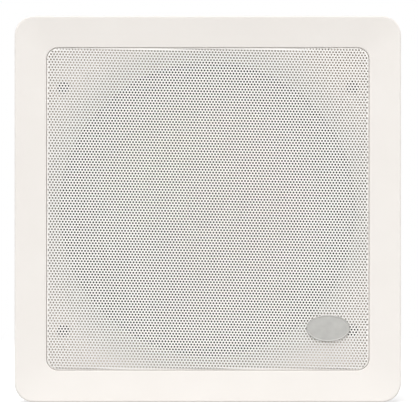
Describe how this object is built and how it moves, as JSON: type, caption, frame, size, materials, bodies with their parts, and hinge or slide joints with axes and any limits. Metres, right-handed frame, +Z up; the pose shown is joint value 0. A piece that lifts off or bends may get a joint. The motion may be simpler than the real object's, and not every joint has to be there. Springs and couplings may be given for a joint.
{
  "type": "ceiling speaker",
  "caption": "Square flush-mount ceiling speaker: moulded flange, perforated steel grille, coaxial driver, crossover and screw-drawn swing-out clamps.",
  "frame": {"origin": "centre of the flange's rear face, which lies against the ceiling", "axes": "+Y into the ceiling, away from the room; +Z up as the badge reads; +X to the right seen from the room"},
  "size_m": [0.23, 0.083, 0.23],
  "materials": {
    "ivory_abs": "fine moulded texture, warm ivory white",
    "white_powder_coat": "satin white powder coat",
    "satin_badge": "satin, bare",
    "black_foam": "closed-cell foam",
    "black_steel": "black e-coat",
    "black_rubber": "matt butyl rubber",
    "black_cone": "matt moulded cone",
    "bare_aluminium": "plain",
    "copper_wire": "enamelled copper",
    "spider_cloth": "resin-set cloth",
    "zinc_steel": "zinc plated",
    "ferrite": "ground ferrite",
    "black_screw": "black oxide",
    "brown_phenolic": "paper phenolic",
    "tinned_brass": "plain brass",
    "black_abs": "fine moulded texture",
    "nickel_magnet": "nickel plated",
    "silk_dome": "coated silk",
    "circuit_board": "paper phenolic board",
    "zinc_screw": "zinc plated",
    "yellow_film": "wrapped film",
    "white_ceramic": "cement filled ceramic case",
    "red_lever": "moulded",
    "black_lever": "moulded",
    "clamp_nylon": "glass-filled nylon"
  },
  "bodies": {
    "frame": {"baffle_frame": "ivory_abs", "grille": "white_powder_coat", "badge": "satin_badge", "driver_seal": "black_foam", "basket": "black_steel", "surround": "black_rubber", "rim_gasket": "black_foam", "spider": "spider_cloth", "front_plate": "zinc_steel", "magnet": "ferrite", "yoke": "zinc_steel", "driver_screws": "black_screw", "tag_strip": "brown_phenolic", "lead_tags": "tinned_brass", "tweeter_post": "bare_aluminium", "post_nut": "zinc_steel", "tweeter_housing": "black_abs", "tweeter_cup": "zinc_steel", "tweeter_magnet": "nickel_magnet", "tweeter_pole_plate": "zinc_steel", "tweeter_coil": "copper_wire", "tweeter_dome": "silk_dome", "tweeter_faceplate": "black_abs", "crossover_board": "circuit_board", "board_screws": "zinc_screw", "crossover_capacitor": "yellow_film", "crossover_resistor": "white_ceramic", "inductor_bobbin": "black_abs", "inductor_winding": "copper_wire", "terminal_block": "black_abs"},
    "cone_assembly": {"cone": "black_cone", "coil_former": "bare_aluminium", "voice_coil": "copper_wire"},
    "red_lever": {"terminal_lever_red": "red_lever"},
    "black_lever": {"terminal_lever_black": "black_lever"},
    "screw_upper_right": {"clamp_screw_upper_right": "zinc_screw"},
    "insert_upper_right": {"clamp_insert_upper_right": "tinned_brass"},
    "arm_upper_right": {"clamp_arm_upper_right": "clamp_nylon"},
    "screw_lower_right": {"clamp_screw_lower_right": "zinc_screw"},
    "insert_lower_right": {"clamp_insert_lower_right": "tinned_brass"},
    "arm_lower_right": {"clamp_arm_lower_right": "clamp_nylon"},
    "screw_upper_left": {"clamp_screw_upper_left": "zinc_screw"},
    "insert_upper_left": {"clamp_insert_upper_left": "tinned_brass"},
    "arm_upper_left": {"clamp_arm_upper_left": "clamp_nylon"},
    "screw_lower_left": {"clamp_screw_lower_left": "zinc_screw"},
    "insert_lower_left": {"clamp_insert_lower_left": "tinned_brass"},
    "arm_lower_left": {"clamp_arm_lower_left": "clamp_nylon"}
  },
  "joints": [
    {"name": "cone_travel", "type": "slide", "parent": "frame", "child": "cone_assembly", "axis": [0, -1, 0], "range_m": [-0.004, 0.004], "stiffness_N_per_m": 1500, "deforming": ["surround", "spider"]},
    {"name": "red_lever_press", "type": "hinge", "parent": "frame", "child": "red_lever", "pos_m": [0.0175, 0.024, -0.0836], "axis": [-1, 0, 0], "range_deg": [0, 15], "stiffness_Nm_per_rad": 0.02},
    {"name": "black_lever_press", "type": "hinge", "parent": "frame", "child": "black_lever", "pos_m": [0.0295, 0.024, -0.0836], "axis": [-1, 0, 0], "range_deg": [0, 15], "stiffness_Nm_per_rad": 0.02},
    {"name": "screw_turn_upper_right", "type": "hinge", "parent": "frame", "child": "screw_upper_right", "pos_m": [0.0863, 0.03, 0.0726], "axis": [0, 1, 0], "range_deg": [0, 14400]},
    {"name": "clamp_travel_upper_right", "type": "slide", "parent": "frame", "child": "insert_upper_right", "axis": [0, -1, 0], "range_m": [0, 0.028]},
    {"name": "arm_swing_upper_right", "type": "hinge", "parent": "insert_upper_right", "child": "arm_upper_right", "pos_m": [0.0863, 0.047, 0.0726], "axis": [0, 1, 0], "range_deg": [0, 90]},
    {"name": "screw_turn_lower_right", "type": "hinge", "parent": "frame", "child": "screw_lower_right", "pos_m": [0.0863, 0.03, -0.0726], "axis": [0, 1, 0], "range_deg": [0, 14400]},
    {"name": "clamp_travel_lower_right", "type": "slide", "parent": "frame", "child": "insert_lower_right", "axis": [0, -1, 0], "range_m": [0, 0.028]},
    {"name": "arm_swing_lower_right", "type": "hinge", "parent": "insert_lower_right", "child": "arm_lower_right", "pos_m": [0.0863, 0.047, -0.0726], "axis": [0, 1, 0], "range_deg": [0, 90]},
    {"name": "screw_turn_upper_left", "type": "hinge", "parent": "frame", "child": "screw_upper_left", "pos_m": [-0.0863, 0.03, 0.0726], "axis": [0, 1, 0], "range_deg": [0, 14400]},
    {"name": "clamp_travel_upper_left", "type": "slide", "parent": "frame", "child": "insert_upper_left", "axis": [0, -1, 0], "range_m": [0, 0.028]},
    {"name": "arm_swing_upper_left", "type": "hinge", "parent": "insert_upper_left", "child": "arm_upper_left", "pos_m": [-0.0863, 0.047, 0.0726], "axis": [0, 1, 0], "range_deg": [0, 90]},
    {"name": "screw_turn_lower_left", "type": "hinge", "parent": "frame", "child": "screw_lower_left", "pos_m": [-0.0863, 0.03, -0.0726], "axis": [0, 1, 0], "range_deg": [0, 14400]},
    {"name": "clamp_travel_lower_left", "type": "slide", "parent": "frame", "child": "insert_lower_left", "axis": [0, -1, 0], "range_m": [0, 0.028]},
    {"name": "arm_swing_lower_left", "type": "hinge", "parent": "insert_lower_left", "child": "arm_lower_left", "pos_m": [-0.0863, 0.047, -0.0726], "axis": [0, 1, 0], "range_deg": [0, 90]}
  ],
  "couplings": [
    {"joint": "screw_turn_upper_right", "follows": "clamp_travel_upper_right", "rad_per_m": 8976},
    {"joint": "screw_turn_lower_right", "follows": "clamp_travel_lower_right", "rad_per_m": 8976},
    {"joint": "screw_turn_upper_left", "follows": "clamp_travel_upper_left", "rad_per_m": 8976},
    {"joint": "screw_turn_lower_left", "follows": "clamp_travel_lower_left", "rad_per_m": 8976}
  ]
}
